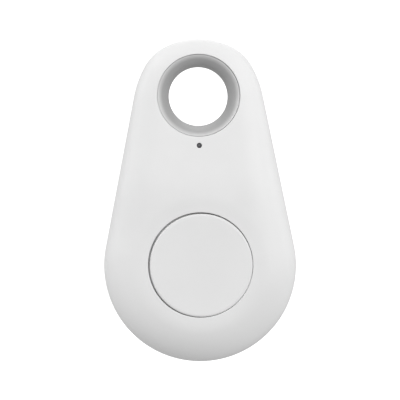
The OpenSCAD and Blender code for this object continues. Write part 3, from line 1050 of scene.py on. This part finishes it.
WHITE = (0.80, 0.80, 0.80)
# The two ring greys are painted shade inside the eyelet: the darker one for deep in the bore, the lighter
# one for the rims
RING_SHADED_GREY = (0.40, 0.40, 0.40)
RING_RIM_LIT_GREY = (0.61, 0.61, 0.61)
GREEN = (0.010, 0.105, 0.040)

shell_mat = moulded("white_abs", WHITE)
button_mat = moulded("white_abs_button", WHITE, rough=0.42)
# The eyelet ring's material, with painted shade in its bore
ring_painted_shade_mat = ring_plastic()
pipe_mat = clear_resin("smoked_clear", (0.13, 0.13, 0.14), 0.15, 0.25)
mask_mat = solder_mask("green_mask", GREEN, (0.35, 0.33, 0.16))
track_mat = solder_mask("green_mask_over_copper", (0.03, 0.20, 0.08), (0.03, 0.20, 0.08))
tin_mat = metal("tinned_copper", (0.78, 0.77, 0.74), 0.35)
zinc_mat = metal("zinc_plate", (0.60, 0.61, 0.64), 0.32)
black_mat = moulded("black_pbt", (0.022, 0.022, 0.024), rough=0.5, grain=5000, depth=0.000008,
                    spread=0.25)
grey_mat = moulded("grey_nylon", (0.10, 0.10, 0.105), rough=0.48, grain=6000, spread=0.15)
epoxy_mat = moulded("black_epoxy", (0.018, 0.018, 0.020), rough=0.55, grain=12000, depth=0.000006,
                    spread=0.3)
pressed_mat = metal("pressed_steel", (0.66, 0.66, 0.67), 0.28, brush=(1, 1, 12))
dome_mat = metal("spring_steel", (0.70, 0.68, 0.62), 0.22, brush=(12, 1, 1))
lid_mat = metal("nickel_lid", (0.70, 0.69, 0.67), 0.3, brush=(9, 1, 1))
gold_mat = metal("gold_plate", (0.83, 0.62, 0.28), 0.26, brush=(1, 6, 6))
cell_mat = turned_metal("rolled_steel", (0.68, 0.68, 0.67), 0.27)
cap_mat = turned_metal("nickel_plate", (0.64, 0.63, 0.61), 0.33, 6000)
tan_mat = moulded("tan_ceramic", (0.38, 0.26, 0.16), rough=0.5, grain=15000, spread=0.12)
cream_mat = moulded("cream_ceramic", (0.74, 0.73, 0.68), rough=0.4, grain=12000, spread=0.04)
film_mat = moulded("black_film", (0.02, 0.02, 0.023), rough=0.3, spread=0.3)
ferrite_mat = moulded("grey_ferrite", (0.09, 0.09, 0.10), rough=0.6, grain=15000, spread=0.3)
led_mat = clear_resin("led_resin", (0.95, 0.90, 0.62), 0.12, 0.5)
foam_mat = cellular("black_foam", (0.07, 0.07, 0.07))


# ---------------------------------------------------------------- every piece on its body
def dress(piece, body, slot, mats, *replaced):
    for mat in mats:
        piece.data.materials.append(mat)
    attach(piece, body)
    if replaced:
        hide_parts(*replaced)
    return piece


def dress_softened(node, bevel, slot, mat, body="front_half", segments=2):
    """Dresses a CAD node's own shape, with its edges rounded over."""
    dress(softened(node, bevel, segments), body, slot, [mat], node)


def on_front(piece, slot, mats, *replaced):
    """Dresses a piece that rides on the front half of the tag."""
    dress(piece, "front_half", slot, mats, *replaced)


# Casing, eyelet and button
on_front(make_shell("front_shell_detail", True), "shell_plastic", [shell_mat], "front_shell")
dress(make_rear_shell(), "rear_cover", "shell_plastic", [shell_mat], "rear_shell")
on_front(make_eyelet_ring(), "ring_plastic", [ring_painted_shade_mat], "eyelet_ring")
dress(make_button(), "button", "button_plastic", [button_mat], "button_cap")
on_front(make_light_pipe(), "clear_plastic", [pipe_mat], "light_pipe")

# Board with its tracks, lands and screws
dress_softened("pcb", 0.04, "board", mask_mat)
on_front(make_tracks(), "board", [track_mat])
lands, vias = make_pads()
on_front(lands, "contact_metal", [tin_mat])
on_front(vias, "contact_metal", [gold_mat])
dress_softened("pcb_screws", 0.06, "screw_steel", zinc_mat)

# Tactile switch
dress_softened("switch_base", 0.06, "switch_plastic", grey_mat)
switch_cover, rivets = make_switch_cover()
on_front(switch_cover, "switch_steel", [pressed_mat], "switch_cover")
on_front(rivets, "switch_plastic", [grey_mat])
dress_softened("switch_plunger", 0.06, "switch_plastic", black_mat, "plunger")
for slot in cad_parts["switch_dome"].material_slots:
    slot.material = dome_mat

# Chips
on_front(make_radio_chip(), "chip_plastic", [epoxy_mat, tin_mat], "ble_chip")
for crystal in ("crystal_main", "crystal_rtc"):
    on_front(make_crystal(crystal), "crystal_can", [lid_mat, cream_mat], crystal)
antenna, meander = make_antenna()
on_front(antenna, "antenna_ceramic", [cream_mat, tin_mat], "chip_antenna")
on_front(meander, "contact_metal", [tin_mat])
on_front(make_led(), "led_resin", [led_mat, cream_mat, tin_mat], "status_led")
on_front(capped_chips("capacitors", 0.24), "capacitor_ceramic", [tan_mat, tin_mat], "capacitors")
on_front(capped_chips("resistors", 0.2, 0.03), "resistor_film", [film_mat, tin_mat], "resistors")
on_front(capped_chips("inductors", 0.36), "ferrite", [ferrite_mat, tin_mat], "inductors")

# Back of the board
dress_softened("buzzer_base", 0.06, "buzzer_plastic", grey_mat)
dress_softened("buzzer_case", 0.15, "buzzer_plastic", black_mat, segments=3)
dress_softened("battery_holder", 0.1, "holder_plastic", black_mat)
dress_softened("contact_positive", 0.04, "contact_metal", gold_mat)
dress_softened("contact_negative", 0.04, "contact_metal", gold_mat)

# Coin cell and the foam that holds it down
dress(make_cell_can(), "cell", "cell_steel", [cell_mat], "cell_can")
dress(make_cell_gasket(), "cell", "gasket_plastic", [grey_mat], "cell_gasket")
dress(make_cell_cap(), "cell", "cell_nickel", [cap_mat], "cell_cap")
dress(make_foam(), "rear_cover", "foam", [foam_mat], "foam_pad")


# ---------------------------------------------------------------- stage, light and camera
scene = bpy.context.scene
scene.view_settings.view_transform = "Standard"
# Lengths on the stage are in metres and angles in degrees
MIDDLE = (TOP_Y + BOTTOM_Y) / 2 * MM
CAMERA_AWAY = 0.35
FRAME_HEIGHT = 0.06466
CAMERA_RIGHT, CAMERA_TURN, CAMERA_ROLL = 0.0001, -1.0, 0.6
FLOOR_Z, FLOOR_R, BEND_R, WALL_TOP = -0.45, 1.6, 0.8, 3.0
FLOOR_GLOW = 0.9
WORLD_GLOW = 0.53
SOFTBOX_SIZE, SOFTBOX_AWAY = 0.45, 0.8
# (name, azimuth, elevation, power); azimuth 0 is in front of the tag and 90 on its right
SOFTBOXES = [("upper_left_softbox", -60, 45, 1.6), ("left_softbox", -85, 20, 1.15),
             ("upper_right_softbox", 60, 45, 0.3), ("front_softbox", 0, 15, 0.70),
             ("front_right_softbox", 40, 20, 1.72), ("right_softbox", 85, 20, 1.1),
             ("back_softbox", 180, 48, 3.3)]


def make_floor():
    """A round pale sweep: a level floor that curves up into a wall on every side."""
    around, bend_steps = 96, 16
    profile = [(0.02, 0), (FLOOR_R, 0)] + [
        (FLOOR_R + BEND_R * math.sin(math.pi / 2 * k / bend_steps),
         BEND_R * (1 - math.cos(math.pi / 2 * k / bend_steps))) for k in range(1, bend_steps + 1)]
    profile.append((FLOOR_R + BEND_R, WALL_TOP))
    points, faces = [], [tuple(reversed(range(around)))]
    for r, z in profile:
        points += [(r * math.cos(2 * math.pi * i / around), r * math.sin(2 * math.pi * i / around),
                    FLOOR_Z + z) for i in range(around)]
    for k in range(len(profile) - 1):
        for i in range(around):
            a, b = k * around + i, k * around + (i + 1) % around
            faces.append((a, b, b + around, a + around))
    mesh = bpy.data.meshes.new("floor")
    mesh.from_pydata(points, [], faces)
    mesh.shade_smooth()
    floor = bpy.data.objects.new("floor", mesh)
    scene.collection.objects.link(floor)
    mat = new_material("lit_paper_floor", 0.9, spec=0.0)
    tree, bsdf = nodes_of(mat)
    vary(tree, noise(tree, 3, 2).outputs["Fac"], (0.86, 0.86, 0.86), (0.88, 0.88, 0.88),
         bsdf.inputs["Base Color"])
    bsdf.inputs["Emission Color"].default_value = (1, 1, 1, 1)
    bsdf.inputs["Emission Strength"].default_value = FLOOR_GLOW
    mesh.materials.append(mat)
    floor.visible_diffuse = False
    floor.visible_glossy = False
    floor.visible_shadow = False


def area_light(name, azimuth, elevation, power):
    """A round softbox that faces the middle of the tag; azimuth 0 is in front, 90 on the right."""
    data = bpy.data.lights.new(name, "AREA")
    data.shape, data.size, data.energy = "DISK", SOFTBOX_SIZE, power
    lamp = bpy.data.objects.new(name, data)
    turn, lift = math.radians(azimuth), math.radians(elevation)
    away = Vector((math.sin(turn) * math.cos(lift), -math.cos(turn) * math.cos(lift), math.sin(lift)))
    lamp.location = Vector((0, 0, MIDDLE)) + SOFTBOX_AWAY * away
    lamp.rotation_euler = away.to_track_quat("Z", "Y").to_euler()
    lamp.visible_glossy = abs(azimuth) < 90  # from behind it would streak the inside of the ring
    scene.collection.objects.link(lamp)


def make_world(strength):
    world = bpy.data.worlds.new("studio")
    world.use_nodes = True
    world.node_tree.nodes["Background"].inputs["Color"].default_value = (1, 1, 1, 1)
    world.node_tree.nodes["Background"].inputs["Strength"].default_value = strength
    scene.world = world


def make_camera():
    data = bpy.data.cameras.new("camera")
    data.sensor_width = 36
    data.lens = data.sensor_width * CAMERA_AWAY / FRAME_HEIGHT
    camera = bpy.data.objects.new("camera", data)
    turn = math.radians(CAMERA_TURN)
    camera.location = (CAMERA_RIGHT + CAMERA_AWAY * math.sin(turn), -CAMERA_AWAY * math.cos(turn), MIDDLE)
    camera.rotation_euler = (math.pi / 2, math.radians(CAMERA_ROLL), turn)
    scene.collection.objects.link(camera)
    scene.camera = camera


make_floor()
make_world(WORLD_GLOW)
for name, azimuth, elevation, power in SOFTBOXES:
    area_light(name, azimuth, elevation, power)
make_camera()
